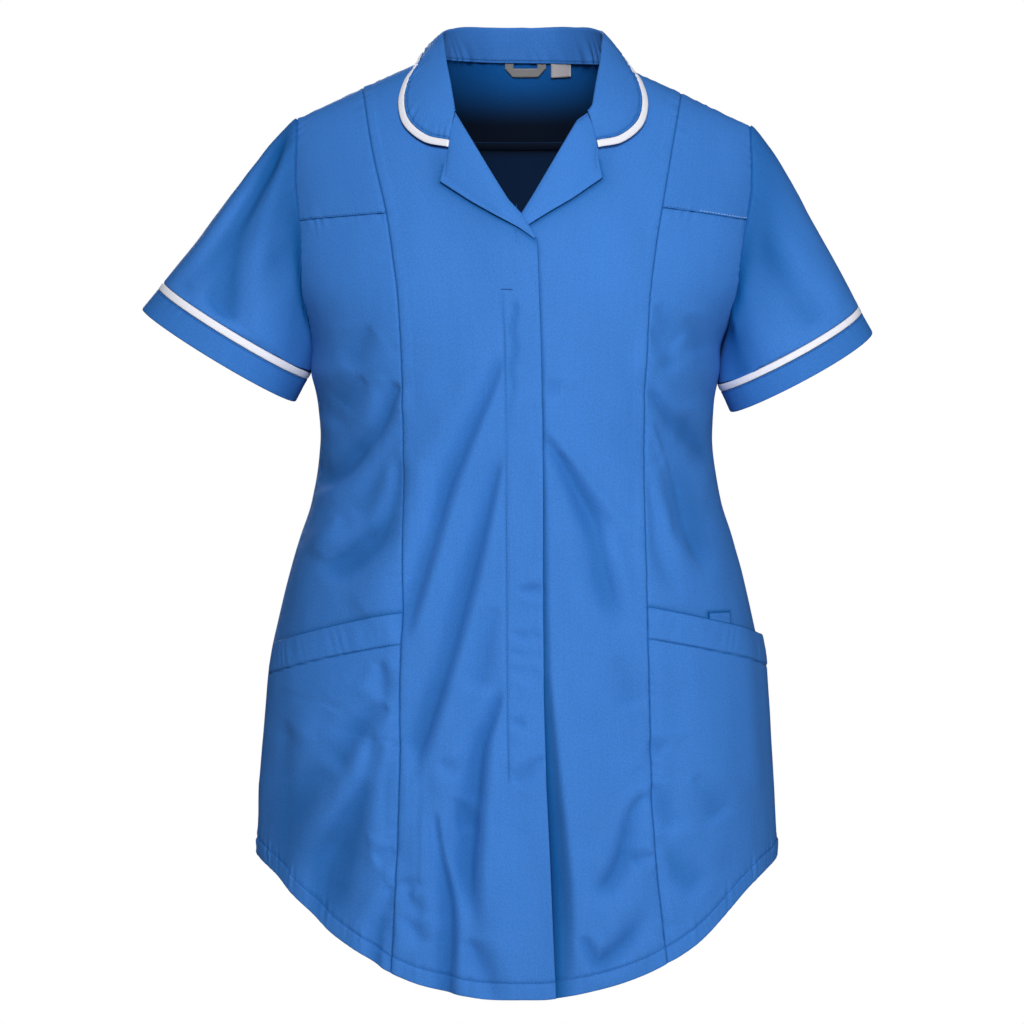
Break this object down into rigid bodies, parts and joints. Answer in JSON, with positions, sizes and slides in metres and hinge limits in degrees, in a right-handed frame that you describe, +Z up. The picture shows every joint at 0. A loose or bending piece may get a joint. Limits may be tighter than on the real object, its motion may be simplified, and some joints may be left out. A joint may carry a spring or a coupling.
{
  "type": "maternity tunic",
  "caption": "Blue short-sleeved maternity work tunic with revere collar, white piping, wrapped front, curved hem and hip pockets, shown filled out with no wearer.",
  "frame": {"origin": "middle of the body between the two side neck points, where a wearer's neck and shoulders hold the tunic up", "axes": "+Z up along the body, -Y the front of the tunic, +X the wearer's left"},
  "size_m": [0.623, 0.3059, 0.8189],
  "materials": {
    "blue_cloth": "polyester and cotton twill with fine upright lines, slight sheen",
    "white_trim": "woven piping, matt white",
    "grey_tape": "woven tape, grey",
    "label_cloth": "smooth label ribbon, beige grey"
  },
  "bodies": {
    "root": {"right_front_centre": "blue_cloth", "left_front_centre": "blue_cloth", "right_front_yoke": "blue_cloth", "left_front_yoke": "blue_cloth", "right_front_side": "blue_cloth", "left_front_side": "blue_cloth", "back_yoke": "blue_cloth", "back_panel": "blue_cloth", "right_sleeve": "blue_cloth", "left_sleeve": "blue_cloth", "right_cuff": "blue_cloth", "left_cuff": "blue_cloth", "right_cuff_trim": "white_trim", "left_cuff_trim": "white_trim", "collar": "blue_cloth", "collar_trim": "white_trim", "right_lapel": "blue_cloth", "left_lapel": "blue_cloth", "right_pocket": "blue_cloth", "left_pocket": "blue_cloth", "pen_pocket": "blue_cloth", "hanger_loop": "grey_tape", "size_label": "label_cloth"}
  },
  "joints": []
}
